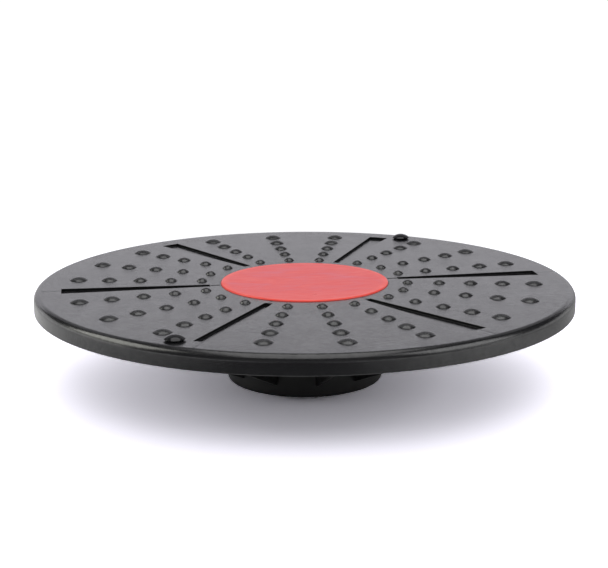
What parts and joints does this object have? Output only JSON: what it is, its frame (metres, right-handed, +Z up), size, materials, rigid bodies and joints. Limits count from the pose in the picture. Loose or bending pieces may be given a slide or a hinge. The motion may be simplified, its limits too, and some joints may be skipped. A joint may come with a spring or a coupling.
{
  "type": "balance board",
  "caption": "Round balance board with raised bumps, radial slots and a red centre disc, on a domed rocker cup with radial webs below.",
  "frame": {"origin": "on the floor under the centre of the deck, at the face of the rubber pad, with the board standing level", "axes": "+Z up along the deck's axis; +X along the first radial slot and the first web; the plugs stand at 54 and 234 degrees from +X towards +Y"},
  "size_m": [0.3999, 0.4, 0.0833],
  "materials": {
    "deck_plastic": "charcoal injection-moulded plastic with a fine leather-like grain and a low sheen",
    "web_plastic": "black moulded plastic, smooth, slightly satin",
    "disc_plastic": "red moulded plastic, semi-gloss, with faint waviness",
    "cup_plastic": "black moulded plastic, smooth satin",
    "zinc_steel": "bright zinc-plated steel",
    "pad_rubber": "matt black rubber with fine pitting",
    "plug_plastic": "glossy black plastic"
  },
  "bodies": {
    "board": {"deck": "deck_plastic", "deck_webs": "web_plastic", "centre_disc": "disc_plastic", "rocker_cup": "cup_plastic", "cup_screws": "zinc_steel", "cup_washers": "zinc_steel", "foot_pad": "pad_rubber"},
    "left_plug": {"plug_left": "plug_plastic"},
    "right_plug": {"plug_right": "plug_plastic"}
  },
  "joints": [
    {"name": "left_plug_pull", "type": "slide", "parent": "board", "child": "left_plug", "axis": [0, 0, 1], "range_m": [0, 0.018]},
    {"name": "right_plug_pull", "type": "slide", "parent": "board", "child": "right_plug", "axis": [0, 0, 1], "range_m": [0, 0.018]}
  ]
}
